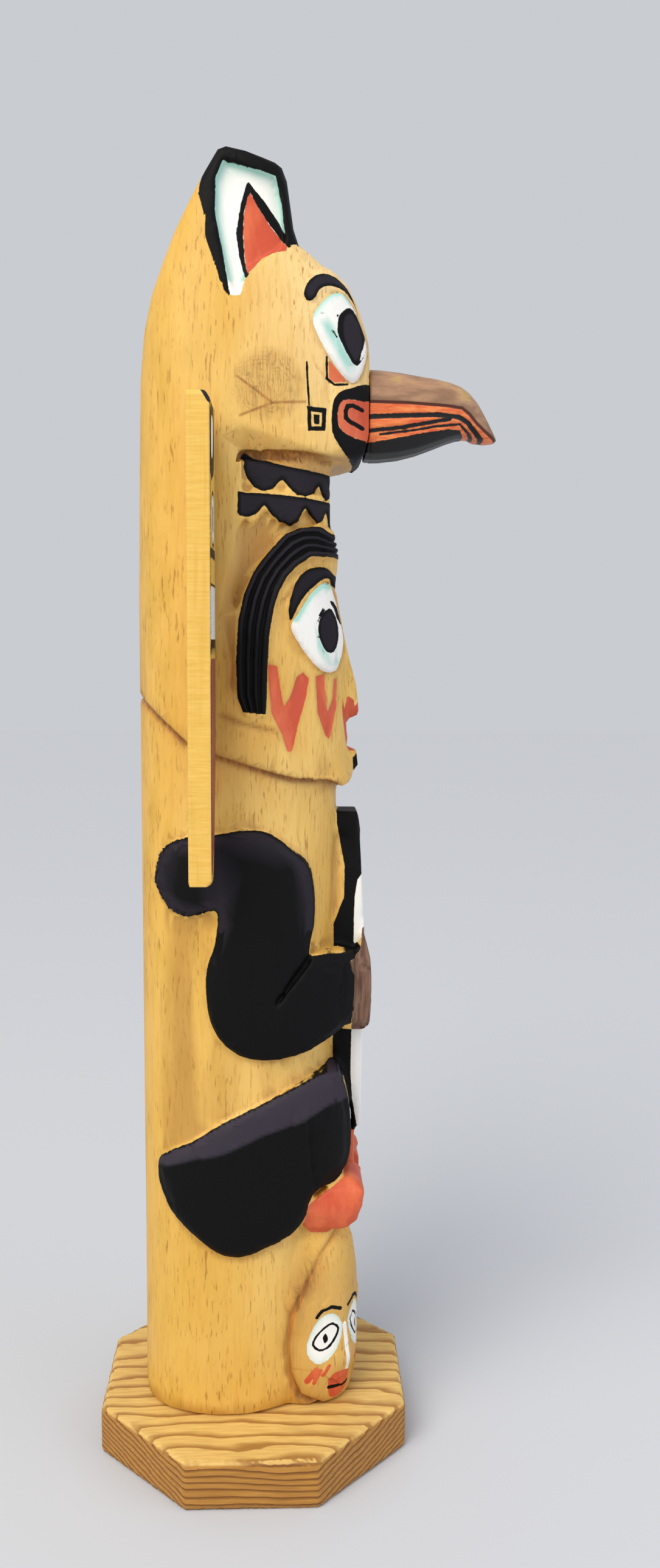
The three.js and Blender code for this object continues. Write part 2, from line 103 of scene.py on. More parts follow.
def soft_light(name, place, aimed_at, size, power, colour):
    """A square panel light."""
    panel = bpy.data.lights.new(name, "AREA")
    panel.size = size
    panel.energy = power
    panel.color = linear(colour)[:3]
    lamp = bpy.data.objects.new(name, panel)
    bpy.context.scene.collection.objects.link(lamp)
    lamp.location = place
    lamp.rotation_euler = (Vector(place) - Vector(aimed_at)).to_track_quat("Z", "Y").to_euler()
    return lamp


daylight = bpy.data.lights.new("daylight", "SUN")
daylight.energy = 1.7
daylight.angle = 0.7
daylight.color = linear("#fff8ee")[:3]
sun = bpy.data.objects.new("daylight", daylight)
bpy.context.scene.collection.objects.link(sun)
sun.rotation_euler = Vector((-0.75, 0.55, 1.15)).to_track_quat("Z", "Y").to_euler()
soft_light("window", (-0.95, 0.6, 0.9), (0, 0, 0.3), 0.7, 5, "#fff6ea")
soft_light("fill", (-0.6, -1.0, 0.6), (0, 0, 0.25), 1.0, 3.5, "#eef1ff")

sky = bpy.data.worlds.new("sky")
bpy.context.scene.world = sky
sky.use_nodes = True
sky.node_tree.nodes["Background"].inputs["Color"].default_value = linear("#c9ccd1")
sky.node_tree.nodes["Background"].inputs["Strength"].default_value = 1.0

bpy.ops.mesh.primitive_plane_add(size=8, location=(0, 0, 0))
floor = bpy.context.object
floor.name = "floor"
tree, out, material = new_material("matt_paper_floor")
sheen = add_node(tree, "ShaderNodeBsdfPrincipled", inputs={
    "Base Color": linear("#c7cacf"), "Roughness": 0.9, "Specular IOR Level": 0.15,
})
tree.links.new(sheen.outputs["BSDF"], out.inputs["Surface"])
floor.data.materials.append(material)
bpy.ops.object.select_all(action="DESELECT")


# ---- The pole: one log of yellow cedar, carved with knives and adzes on its front and sides ----
# The bird's head, the neck, the large face, the figure that holds a staff and the small head at the
# foot are all one piece of wood. The paint is flat and put on by hand, up to the carved edges.

SKIN_SPACING = 0.001
SKIN_LIMIT = 140000
FIRM_EDGE = 2.2


def carving_from(node, name, spacing, *added):
    """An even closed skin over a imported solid, with any blocks added, ready to carve."""
    piece = bpy.data.objects.new(name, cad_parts[node].data.copy())
    bpy.context.scene.collection.objects.link(piece)
    bpy.ops.object.select_all(action="DESELECT")
    bpy.context.view_layer.objects.active = piece
    piece.select_set(True)
    piece.data.materials.clear()
    bpy.ops.object.mode_set(mode="EDIT")
    bpy.ops.mesh.select_all(action="SELECT")
    bpy.ops.mesh.remove_doubles(threshold=0.00001)
    bpy.ops.object.mode_set(mode="OBJECT")
    for block in added:
        block.select_set(True)
    if added:
        bpy.ops.object.join()
    even = piece.modifiers.new("even", "REMESH")
    even.mode = "VOXEL"
    even.voxel_size = spacing
    even.use_smooth_shade = True
    bpy.ops.object.modifier_apply(modifier="even")
    return piece


def places_of(piece):
    """Every point of a piece in millimetres, as rows of [x, y, z]."""
    places = np.empty(len(piece.data.vertices) * 3, np.float32)
    piece.data.vertices.foreach_get("co", places)
    return places.reshape(-1, 3).astype(float) * 1000


def facings_of(piece):
    """The outward direction at every point of a piece."""
    facings = np.empty(len(piece.data.vertices) * 3, np.float32)
    piece.data.vertex_normals.foreach_get("vector", facings)
    return facings.reshape(-1, 3).astype(float)


def push_out(piece, depths):
    """Moves each point along its own normal by so many millimetres, inwards where less than nothing."""
    places = places_of(piece) + facings_of(piece) * depths[:, None]
    piece.data.vertices.foreach_set("co", (places / 1000).astype(np.float32).ravel())
    piece.data.update()


def smooth_where(piece, wanted, times, factor=0.5):
    """Scrapes down the points that are wanted."""
    group = piece.vertex_groups.new(name="scraped")
    group.add(np.flatnonzero(wanted).tolist(), 1.0, "REPLACE")
    scrape = piece.modifiers.new("scrape", "SMOOTH")
    scrape.factor = factor
    scrape.iterations = times
    scrape.vertex_group = "scraped"
    bpy.context.view_layer.objects.active = piece
    bpy.ops.object.modifier_apply(modifier="scrape")
    piece.vertex_groups.remove(piece.vertex_groups["scraped"])


def rounded(corners, step=1.5):
    """A smooth closed outline through its corners."""
    corners = np.array(corners, float)
    before, after = np.roll(corners, 1, 0), np.roll(corners, -1, 0)
    after2 = np.roll(corners, -2, 0)
    line = []
    for a, b, c, d in zip(before, corners, after, after2):
        for t in np.arange(0, 1, min(1.0, step / max(step, np.hypot(*(c - b))))):
            line.append(0.5 * (2 * b + (c - a) * t + (2 * a - 5 * b + 4 * c - d) * t ** 2
                               + (3 * b - a - 3 * c + d) * t ** 3))
    return np.array(line)


def distance_to(side, outline, closed=True, reach=9.0):
    """Millimetres from each side-view place to an outline. Inside a closed one it is less than nothing."""
    line = np.array(outline, float)
    near = np.flatnonzero(((side > line.min(0) - reach) & (side < line.max(0) + reach)).all(1))
    start = line if closed else line[:-1]
    run = (np.roll(line, -1, 0) if closed else line[1:]) - start
    away = side[near, None] - start
    share = np.clip((away * run).sum(2) / (run ** 2).sum(1), 0, 1)
    nearest = np.sqrt(((away - share[..., None] * run) ** 2).sum(2)).min(1)
    if closed:
        rise = run[:, 1]
        level = side[near, None, 1] - start[:, 1]
        spans = (level >= 0) != (level >= rise)
        cut = start[:, 0] + run[:, 0] * level / np.where(rise == 0, 1, rise)
        inside = (spans & (side[near, None, 0] < cut)).sum(1) % 2 == 1
        nearest = np.where(inside, -nearest, nearest)
    distance = np.full(len(side), reach)
    distance[near] = np.minimum(nearest, reach)
    return distance


def stroke(side, line, width):
    """A brush or knife stroke of one width along an open line."""
    return distance_to(side, line, closed=False) - width / 2


def without(field, other):
    """One field with another cut out of it."""
    return np.maximum(field, -other)


def either(*fields):
    """Fields joined into one."""
    return np.minimum.reduce(fields)


# The outlines that the carver followed, each side alike.
EAR_RIM = [
    (-12, 526), (-20.2, 507), (-20.6, 498.4), (-18.7, 489), (-15.4, 478.7), (-9.0, 464.2), (-6.6, 465.8),
    (-2, 482), (10, 486), (13.2, 484.4), (18, 486), (18, 520),
]
EAR_HOLLOW = [
    (-10.8, 514.4), (-13.6, 508), (-13.8, 495), (-11, 481), (-8.2, 465), (-4.6, 465), (-2.5, 472.5), (2, 480),
    (12.6, 484.6), (10.8, 500), (8.6, 509.6),
]
EAR_FLAME = [
    (-1.2, 504.4), (-3.2, 496), (-3.5, 488.6), (-3, 480), (-1.8, 472.6), (1, 475.4), (3.6, 479.6), (8, 481.2),
    (12.6, 482.2), (13, 483.8), (10.4, 487.6), (6.6, 492), (2, 498.6),
]
EAR_FLAME_EDGE = [
    (-2, 508), (-4.2, 500), (-6.1, 488.6), (-5, 480.3), (-2.6, 471), (-1.6, 471.6), (2, 480), (12, 483),
    (14.6, 484),
    (9.4, 494.2), (4.3, 501),
]
HEAD_BROW = rounded([
    (19.2, 466.2), (20.4, 470.6), (24, 474.4), (28.6, 476), (33, 474.8), (37, 471.2), (40.4, 462.8),
    (38.6, 465.8), (36, 469), (32.6, 470.9), (28.6, 470.8), (25.4, 468.9), (23.6, 465.4), (21.2, 464),
])
HEAD_EYE = rounded([
    (22.6, 457), (25.4, 463.2), (29.3, 467.3), (32.4, 469), (36, 467.3), (39.5, 461.8),
    (43, 453.5), (43.8, 448), (42, 440.5), (38.7, 435.8), (35.2, 437), (31.7, 440.4), (26.5, 448),
])
HEAD_IRIS = rounded([
    (36.8, 463.4), (40.6, 459), (43, 452.2), (42.6, 447), (39.2, 441.8), (36, 444.6), (32.2, 451.6), (31.7, 455.6),
    (32.8, 460.4),
])
HEAD_PUPIL = rounded([
    (37.2, 461.2), (40, 457), (41.2, 450.6), (40, 445.2), (38.4, 443.8), (35, 449), (33.9, 455), (34.6, 459.6),
])
HEAD_GLINT = [(42.7, 452.8), (43.4, 449.6), (42.6, 447.2), (41.2, 444.6), (40.4, 443.8), (40.8, 446.6),
              (41.6, 448.6)]
CHEEK_FLECK = [(28.6, 443.2), (28.8, 436.6), (31, 434.9), (35.6, 435.8), (31.6, 440)]
CHEEK_FLECK_EDGE = [(27.9, 444), (28.2, 436.2), (31, 434.2), (36, 434.8)]
CHEEK_LINE = [(20.4, 441.5), (20.8, 434), (21.4, 426)]
CHEEK_ZONE = [(18.6, 443), (30, 445), (37, 434), (30, 415), (18.6, 415)]
MOUTH_BAND = rounded([
    (49, 434.4), (37, 433.4), (31.4, 429.6), (30, 423), (30.4, 416.5), (33.6, 411), (38.3, 407), (49, 404),
])
MOUTH_FIELD = rounded([
    (49, 429.6), (42.6, 429.4), (36, 429.2), (33.3, 427.6), (32.3, 423.5), (32.6, 419.8), (34.2, 417.3),
    (38, 415.5),
    (42.7, 414.7), (49, 414.6),
])
MOUTH_STROKE = [(42, 426), (38.4, 427.2), (36.2, 426.8), (35.4, 424.8), (35.5, 422.2), (37.4, 421), (42.2, 419.2)]
CHEEK_SQUARE = [(20.6, 425.6), (28, 425.2), (27.6, 416.8), (20.9, 416.4)]
CHEEK_SQUARE_LINE = [(22, 423.8), (26.5, 423.6), (26.2, 418.2), (22.2, 418)]

FEATHERS_UPPER = [
    (-2.6, 406.4), (-3.2, 402.4), (-2.4, 399), (0.4, 395.4), (4.2, 393.8), (8, 395), (11.3, 398.6), (13.4, 396),
    (17, 393), (20.6, 392.6), (23.6, 394.2), (25.4, 397.4), (27, 393.4), (28.6, 391.6), (30, 393), (34, 396),
    (49, 396),
    (49, 401.6), (30, 401.8), (13.6, 403.4),
]
FEATHERS_LOWER = [
    (-5.4, 393.4), (-5.6, 384.6), (-2, 383.8), (1.6, 385.2), (4.6, 388.6), (7, 385), (10.6, 382), (14.2, 381.2),
    (17.6, 383), (20.2, 388.2), (22, 385.4), (24.6, 382.6), (27, 383.6), (28.6, 387.4), (29.6, 382.4), (31, 381),
    (49, 381), (49, 391), (28, 391.4), (12, 392.6),
]
HAIR_OUTER = [
    (49, 378.4), (30.5, 379), (25.9, 381.5), (18.5, 380.9), (12.6, 378.2), (6.4, 371.2), (0.4, 363.6), (-3.2, 355),
    (-5.4, 345), (-6.2, 330), (-5.8, 316), (-3.6, 310.4),
]
HAIR_INNER = [
    (49, 368.8), (29, 370.3), (22.6, 369.8), (17.4, 366.4), (13.2, 362), (10.2, 356.4), (8.2, 350),
    (6.6, 341), (5.8, 328), (5.5, 317), (5.2, 309.4),
]
FACE_BROW = rounded([
    (47, 361), (34, 362.5), (29.5, 365.8), (25.2, 366.2), (20.4, 364.6), (16.8, 360.6), (14.6, 355),
    (13.7, 349), (14.3, 345.1), (15.8, 347.3), (18, 351.6), (20.6, 355.6), (24, 358.9), (27.3, 361.4),
    (29.8, 361.5), (32, 358), (47, 351),
])
FACE_EYE = rounded([
    (14.8, 343.2), (18.6, 349.8), (22.4, 355.7), (26.4, 359.4), (29.4, 360), (31.6, 356), (34, 347.5),
    (35.9, 337.5), (34.4, 329), (32.2, 325.7), (28.7, 325.3), (25.2, 327.4), (21, 332), (17.4, 337.2),
])
FACE_PUPIL = rounded([
    (29, 350.2), (31.4, 347.8), (33, 341.7), (32.2, 335.4), (29.8, 332.8), (27.2, 334.6), (25.1, 340), (25.4, 346),
])
FACE_LID = [(25.8, 347.8), (27, 350.6), (28.8, 352.4), (30.4, 352.4), (31.8, 350.4), (33, 347), (34.4, 344.6)]
FACE_UNDER_EYE = [(26.2, 334.6), (28, 331.8), (29.6, 331), (31.4, 332), (32.6, 334.6)]
FACE_TEAR = [(26.4, 348.4), (22.7, 341.4), (26, 338.4)]
CHEEK_V = [
    (6, 328.6), (9.6, 328), (10.4, 321), (12.2, 312), (15, 317), (17, 323.6), (19.6, 325.6), (22, 323),
    (20.6, 315.4),
    (17.4, 304), (15.4, 294.6), (13.6, 295), (11.6, 301.4), (7.4, 309.8),
]
CHEEK_V_FRONT = [
    (24.6, 324), (28, 324.6), (28.6, 317), (29.5, 309.3), (31.6, 315), (32, 322.6), (33.2, 323), (33, 311),
    (30.4, 298.6),
    (28.6, 300.6), (25.4, 310),
]

ARM = rounded([
    (-14, 262.8), (-3, 264.4), (6, 263.2), (15.3, 256.5), (22, 249.5), (24.4, 238), (24.2, 226),
    (22.6, 214.5), (30, 213.6), (39, 212.6), (44, 212.5), (44, 186), (33, 180), (24, 175),
    (15.5, 172.6), (5.6, 171.6), (-3, 173.2), (-10.6, 177.8), (-15.6, 185), (-18, 195), (-18.2, 208),
    (-14.6, 221), (-14, 232.5), (-20, 231.4), (-26, 229.8), (-32, 232), (-36, 237), (-39, 243.5),
    (-37.6, 251), (-34, 257.3), (-27, 261),
])
ARM_CROOK = [(24, 216), (21.4, 211), (9.2, 195)]
LEG = rounded([
    (-38.6, 127), (-33, 133.4), (-22.6, 139.4), (-11.6, 146.5), (4.6, 154.4), (15.5, 159.4), (25.2, 163.6),
    (31, 164.6), (35.2, 162.4), (38.4, 153), (40.2, 139), (39, 124), (34, 118.2), (26.6, 115.6),
    (23.4, 112.5), (21.4, 106), (17.6, 99.6), (7.3, 94.3), (-4.7, 90), (-13.4, 91.4), (-21.6, 97.2),
    (-31.4, 106.1), (-37.4, 116.4),
])
LEG_RIDGE = [(-38, 126), (-24, 131), (-11.7, 133.6), (4.6, 141.2), (21, 146), (31, 151)]
SHIN_GROOVE = [(22.8, 146), (23.6, 134), (25.4, 118)]
FOOT = [
    (20, 99.6), (22.4, 109.6), (27.4, 112.8), (32.1, 115.9), (38.6, 119.4), (43, 117.4), (47, 115),
    (47, 102), (38.9, 97.6), (33.7, 94.8), (30.6, 94), (23, 95),
]
STAFF = [
    (30, 268.6), (49, 268.6), (49, 130), (41, 131), (41, 138.4), (38.1, 148.8), (34.7, 157.8), (32.6, 166),
    (32.6, 222),
    (36.9, 233), (37.1, 245.7), (34, 262), (33.6, 268.6),
]
STAFF_FACE = [
    (45.4, 244), (42.4, 240), (41.3, 233), (41, 222), (40.4, 176), (40.2, 158), (41, 146), (43.4, 132), (50, 128),
    (50, 244),
]
HAND = [(39.6, 208.6), (40, 177), (52, 177), (52, 224), (44.4, 220), (43.4, 212), (41.4, 209.6)]
UNDERCUT = [
    (-47, 315.6), (-41.7, 311.3), (-25.8, 297.4), (-12.5, 292.2), (3.7, 286.8), (16.4, 283.2), (28.9, 282.6),
    (34, 280.6),
]
JAW = [(-3.6, 408.2), (4, 408.9), (15.8, 409.6), (22, 409.6), (29.9, 406.4), (39, 407)]
JAW_BEVEL = [(-5, 418.2), (-3.2, 417.6), (8, 414.6), (19.7, 411.3), (29.9, 407.6)]
KNOT_CENTRE = (6, 433)
KNOT_ZONE = [(-7, 437), (0, 437.4), (8, 428.5), (21, 429), (21, 424.6), (7, 423.8), (-6, 419)]
CHIN_LINE = [(-13, 309.2), (-3, 305.4), (8.4, 302.9)]
KNOT_CRACKS = ([(-4.5, 421.3), (7.6, 426.1), (19.9, 427.1)], [(-5.6, 435.4), (7.6, 426.1)])
SMALL_HEAD_AXIS = (8, 21)
SMALL_HEAD_RADIUS = 22.8
SMALL_HEAD_RIM = [(37.6, 96), (27.8, 86), (20.5, 72), (15, 60), (13.4, 48), (14, 36), (18.8, 25.5), (26.8, 21)]
HAIR = HAIR_OUTER + HAIR_INNER[::-1]

# A small red apron hangs between the shins, and is carved with the rest.
APRON_PLACE = (0, -0.0375, 0.1235)
APRON_SIZE = (0.011, 0.0095, 0.0145)
bpy.ops.mesh.primitive_cube_add(size=1, location=APRON_PLACE, scale=APRON_SIZE)
apron = bpy.context.object
bpy.ops.object.transform_apply(location=True, rotation=True, scale=True)
pole = carving_from("pole", "carved_pole", SKIN_SPACING, apron)
places = places_of(pole)
side = np.column_stack([-places[:, 1], places[:, 2]])
width = np.abs(places[:, 0])

# The log is scraped round and the carved edges are left firm.
edges = either(*[np.abs(distance_to(side, line)) for line in (
    EAR_HOLLOW, HEAD_BROW, HEAD_EYE, MOUTH_BAND, FEATHERS_UPPER, FEATHERS_LOWER, FACE_BROW, FACE_EYE,
    ARM, LEG, FOOT, STAFF, HAND,
)])
edges = either(edges, *[distance_to(side, line, closed=False) for line in (
    HAIR_OUTER, HAIR_INNER, UNDERCUT, JAW, JAW_BEVEL, ARM_CROOK, SHIN_GROOVE, LEG_RIDGE,
    SMALL_HEAD_RIM, CHIN_LINE,
)])
turned = np.abs(facings_of(pole)[:, 2])
smooth_where(pole, (edges > FIRM_EDGE) & (width > 20) & (turned < 0.7), 60)
smooth_where(pole, edges > FIRM_EDGE - 1, 6)
smooth_where(pole, edges > -1, 2)
plain = pole.vertex_groups.new(name="plain")
painted_edges = either(*[np.abs(distance_to(side, line)) for line in (
    EAR_FLAME, EAR_FLAME_EDGE, HEAD_IRIS, CHEEK_SQUARE, CHEEK_V, CHEEK_V_FRONT, STAFF_FACE,
)])


def close_work(side):
    """Less than nothing where the brush work is finest: the eyes, the mouth, the hair and the small head."""
    low_face = np.where((side[:, 1] < 70) & (side[:, 0] > 15), -1.0, 9.0)
    return either(low_face, *[distance_to(side, line) - 0.8 for line in (
        HEAD_IRIS, FACE_PUPIL, MOUTH_BAND, CHEEK_ZONE, KNOT_ZONE, HAIR,
    )])


plain.add(np.flatnonzero((edges > 2.4) & (painted_edges > 1.5) & (close_work(side) > 0)).tolist(), 1.0, "REPLACE")
thin = pole.modifiers.new("thin", "DECIMATE")
thin.ratio = SKIN_LIMIT / sum(len(p.vertices) - 2 for p in pole.data.polygons)
thin.vertex_group = "plain"
bpy.ops.object.modifier_apply(modifier="thin")

# The skin is made finer there, so that thin lines hold their edges.
places = places_of(pole)
fine = close_work(np.column_stack([-places[:, 1], places[:, 2]])) < 0
pole.data.polygons.foreach_set("select", [all(fine[v] for v in polygon.vertices) for polygon in pole.data.polygons])
bpy.ops.object.mode_set(mode="EDIT")
bpy.ops.mesh.select_mode(type="FACE")
bpy.ops.mesh.subdivide(number_cuts=1)
bpy.ops.object.mode_set(mode="OBJECT")

places = places_of(pole)
side = np.column_stack([-places[:, 1], places[:, 2]])
width = np.abs(places[:, 0])
front, height = side.T

ear_side = np.where(width > 15, -9.0, 9.0)
hair_outer = distance_to(side, HAIR_OUTER, closed=False)
hair_inner = distance_to(side, HAIR_INNER, closed=False)
hair = distance_to(side, HAIR)
strand = hair_outer / (hair_outer + hair_inner + 1e-6)
head_eye = distance_to(side, HEAD_EYE)
face_eye = distance_to(side, FACE_EYE)
head_brow = distance_to(side, HEAD_BROW)
face_brow = distance_to(side, FACE_BROW)
upper_feathers = distance_to(side, FEATHERS_UPPER)
lower_feathers = distance_to(side, FEATHERS_LOWER)
arm = distance_to(side, ARM)
leg = distance_to(side, LEG)
foot = np.where(width > 4, distance_to(side, FOOT), 9.0)
on_staff = np.where(width < 14.5, -9.0, 9.0)
staff = np.maximum(distance_to(side, STAFF), on_staff)
hand = np.where(width < 23, distance_to(side, HAND), 9.0)
undercut = distance_to(side, UNDERCUT, closed=False)
side_groove = distance_to(side, [(-2.5, 366), (-5.3, 357.7), (-7, 349.4), (-7.9, 335.8), (-8.2, 318)], closed=False)
cheek_v = either(distance_to(side, CHEEK_V), distance_to(side, CHEEK_V_FRONT))


def dent(field, wide, deep):
    """A rounded groove, `wide` across and `deep`, along a line."""
    return -deep * np.exp(-(field / (wide / 2)) ** 2)


def step(field, run=0.5):
    """One inside a field and nothing outside, over a short run."""
    return np.clip(0.5 - field / (2 * run), 0, 1)


rng = np.random.default_rng(7)


def facets(spacing, tall, seed):
    """Flat knife cuts: each patch of surface leans a little its own way."""
    maker = np.random.default_rng(seed)
    around = np.arctan2(front + 9, places[:, 0]) * 36
    flat = np.column_stack([around, height / tall, np.zeros(len(front))])
    low, high = flat.min(0), flat.max(0)
    count = int((high[0] - low[0]) * (high[1] - low[1]) / spacing ** 2)
    seeds = maker.uniform(low, high, (count, 3))
    lean = maker.normal(0, 1, (count, 2))
    cells = KDTree(count)
    for i, seed_place in enumerate(seeds):
        cells.insert(seed_place, i)
    cells.balance()
    owner = np.array([cells.find(place)[1] for place in flat])
    return ((flat[:, :2] - seeds[owner, :2]) * lean[owner]).sum(1) / spacing


carve = np.zeros(len(places))
carve += 0.8 * step(head_eye, 3) + dent(head_eye, 0.9, 0.5)
carve += 0.7 * step(face_eye, 3) + dent(face_eye, 0.9, 0.5)
carve += dent(head_brow, 0.8, 0.35) + dent(face_brow, 0.8, 0.35)
carve += dent(distance_to(side, [(17, 462), (18.6, 468.6), (21.4, 473.6), (25.4, 477)], closed=False), 0.8, 0.5)
carve += dent(distance_to(side, [(21.5, 447.4), (24.5, 439.7), (29.3, 434.5)], closed=False), 1.0, 0.6)
carve += dent(undercut, 1.8, 1.4) + dent(side_groove, 1.2, 0.8)
under_jaw = np.interp(front, *np.transpose(JAW_BEVEL)) - height
on_bevel = (under_jaw > 0) & (height > 405) & (front < 30) & (front > -5)
carve -= np.where(on_bevel, 0.42 * under_jaw, 0)
rim = distance_to(side, SMALL_HEAD_RIM, closed=False)
carve += dent(rim, 2.4, 1.5)
chin_line = distance_to(side, CHIN_LINE, closed=False)
carve += dent(chin_line, 1.2, 1.0)
carve += dent(upper_feathers, 0.9, 0.4) + dent(lower_feathers, 0.9, 0.4)
for split in (0.25, 0.5, 0.75):
    carve += np.where(hair < 0, dent((strand - split) * 12, 1.3, 1.5), 0)
carve -= 0.5 * step(cheek_v, 0.4)
carve += dent(distance_to(side, ARM_CROOK, closed=False), 1.5, 1.2)
carve += dent(distance_to(side, SHIN_GROOVE, closed=False), 1.4, 1.0)

# Gouge strokes fan over the forehead, and the coil behind the wing is left rough.
forehead = np.where((front > -6) & (front < 16) & (height > 354) & (height < 384) & (hair > 0), 1.0, 0.0)
gouges = forehead * np.clip(hair / 2, 0, 1) * np.sin(
    (front * 0.74 - (height - 355) * 0.67 + 0.8 * np.sin(height * 0.3)) * 1.7)
carve += 0.5 * gouges
coil = np.clip((-front - 14) / 5, 0, 1) * np.clip((height - 226) / 4, 0, 1) * np.clip((265 - height) / 3, 0, 1)
coil *= np.clip(1 - arm / 2, 0, 1)
rough = rng.normal(0, 1, len(places))
carve += 0.45 * coil * rough
on_limb = np.clip(-arm / 2, 0, 1) + np.clip(-leg / 2, 0, 1) + np.clip(-foot / 2, 0, 1)
on_limb += 0.6 * (height < 88) * (front > 16)
carve += (0.1 + 0.45 * np.clip(on_limb, 0, 1)) * facets(7.5, 1.6, 3) * np.clip((height - 22) / 6, 0, 1)
push_out(pole, carve)
smooth_where(pole, np.full(len(places), True), 1)

# The paint: how far each point lies from the edge of each colour, in millimetres, less than nothing inside.
ear_hollow = distance_to(side, EAR_HOLLOW)
ear_flame = np.maximum(distance_to(side, EAR_FLAME), ear_side)
ear_black = either(
    without(distance_to(side, EAR_RIM), ear_hollow),
    without(distance_to(side, EAR_FLAME_EDGE), distance_to(side, EAR_FLAME)),
)
ear_black = np.maximum(ear_black, ear_side)
cheek_fleck = distance_to(side, CHEEK_FLECK)
mouth_band = distance_to(side, MOUTH_BAND)
mouth_field = distance_to(side, MOUTH_FIELD)
square = distance_to(side, CHEEK_SQUARE)
square_line = distance_to(side, CHEEK_SQUARE_LINE)
head_iris = distance_to(side, HEAD_IRIS)
head_glint = distance_to(side, HEAD_GLINT)
face_pupil = distance_to(side, FACE_PUPIL)
staff_face = np.maximum(distance_to(side, STAFF_FACE), on_staff)

# On the small head the paint is laid out round the face: [round from the nose, height].
bearing = np.arctan2(front - SMALL_HEAD_AXIS[1], -places[:, 0] - SMALL_HEAD_AXIS[0])
round_face = SMALL_HEAD_RADIUS * (math.pi / 4 - bearing)
face_side = np.column_stack([round_face, height])
both_eyes = np.column_stack([np.abs(round_face), height])
off_face = np.where((height < 100) & (side[:, 0] > 14) & (np.abs(round_face) < 30), -9.0, 9.0)
SMALL_EYE = rounded([
    (17, 46), (14.3, 41.2), (10.7, 40.2), (5, 45), (1.6, 53.4), (3.6, 59.4), (8.1, 61.4), (12.6, 58.4),
    (15.9, 52.1),
])
SMALL_RING = rounded([(14.3, 48.4), (11.6, 46), (8, 46.8), (4.6, 51), (3.6, 54.4), (6.4, 56.8), (10.4, 54.6),
                      (13.4, 51.2)])
small_eye = np.maximum(distance_to(both_eyes, SMALL_EYE), off_face)
small_ring = np.abs(distance_to(both_eyes, SMALL_RING)) - 0.5
small_dot = distance_to(both_eyes, rounded([(9, 53), (10.2, 51), (9.2, 48.4), (7.9, 50.4)]))
small_brow = stroke(both_eyes, [(12.8, 60.4), (10.6, 62.9), (6.4, 64.2), (2.2, 62.4)], 1.5)
nose_line = stroke(face_side, [(0.4, 55), (0, 44), (-0.4, 31.2)], 1.9)
lips = distance_to(face_side, rounded([(-2.2, 34), (2, 35.6), (6.4, 34.6), (7.4, 29), (6, 23.4), (2, 22.2),
                                       (-1.4, 23.8), (-2.6, 29)]))
lip_gap = stroke(face_side, [(-2.4, 28.4), (2, 27.8), (7, 28.2)], 1.5)
small_blush = either(
    stroke(both_eyes, [(16.7, 32.6), (12.9, 37.4)], 2.6),
    stroke(both_eyes, [(13.7, 31.6), (11.2, 37)], 1.8),
    stroke(both_eyes, [(10.1, 34.6), (7.6, 39)], 1.5),
)

black = either(
    ear_black,
    head_brow,
    without(head_iris, head_glint),
    stroke(side, [(31.9, 459.8), (28.3, 455.7), (31.6, 451.4)], 0.6),
    stroke(side, CHEEK_FLECK_EDGE, 0.9),
    stroke(side, CHEEK_LINE, 0.8),
    without(square, np.abs(square_line + 0.6) - 0.45),
    without(mouth_band, mouth_field),
    stroke(side, MOUTH_STROKE, 1.7),
    upper_feathers,
    lower_feathers,
    hair,
    face_brow,
    face_pupil,
    stroke(side, FACE_LID, 1.5),
    stroke(side, FACE_UNDER_EYE, 0.6),
    stroke(side, FACE_TEAR, 0.5),
    np.maximum(distance_to(side, [(40.2, 292.6), (50, 292.6), (50, 284), (40.6, 284.6)]),
               np.where(width < 7, -9, 9)),
    without(arm, hand),
    leg,
    without(staff, staff_face),
    np.maximum(either(small_ring, small_dot, small_brow, lip_gap), off_face),
)
black = without(without(black, foot), hand)
white = either(np.maximum(ear_hollow - 0.3, ear_side), head_eye, face_eye, staff_face, small_eye,
               np.maximum(nose_line, off_face))
red = either(
    ear_flame,
    cheek_fleck,
    mouth_field,
    cheek_v,
    np.where(width < 9.5, distance_to(side, [(36, 314.8), (38, 316), (41.6, 313), (50, 310), (50, 304), (30, 304),
                                             (35.4, 307)]), 9),
    np.where(width < 9, distance_to(side, [(36.8, 303), (50, 303), (50, 293.2), (37.4, 293.2)]), 9),
    foot,
    np.where(width < 7, distance_to(side, [(40, 131.5), (50, 131.5), (50, 114), (40, 114)]), 9),
    np.maximum(either(lips, small_blush), off_face),
)
brown = hand


def keep_on_points(piece, **fields):
    """Stores a number at every point, for the material to read."""
    for name, values in fields.items():
        layer = piece.data.attributes.new(name, "FLOAT", "POINT")
        layer.data.foreach_set("value", np.ascontiguousarray(values, np.float32))


neighbours = np.empty(len(pole.data.edges) * 2, np.int32)
pole.data.edges.foreach_get("vertices", neighbours)
neighbours = neighbours.reshape(-1, 2)


def spread(values, times):
    """Evens a value out over the surface, from point to point."""
    for _ in range(times):
        total, count = np.zeros(len(values)), np.zeros(len(values))
        for a, b in ((0, 1), (1, 0)):
            total += np.bincount(neighbours[:, a], values[neighbours[:, b]], len(values))
            count += np.bincount(neighbours[:, a], minlength=len(values))
        values = 0.5 * values + 0.5 * total / np.maximum(count, 1)
    return values


# How deep each point lies in a hollow of the carving, kept for the painted shade in the recesses.
carved_places, carved_facings = places_of(pole), facings_of(pole)
lying = [spread(carved_places[:, i], 4) for i in range(3)]
hollow = ((np.column_stack(lying) - carved_places) * carved_facings).sum(1)
hollow = np.clip(spread(hollow, 2) * 4, -1, 1)
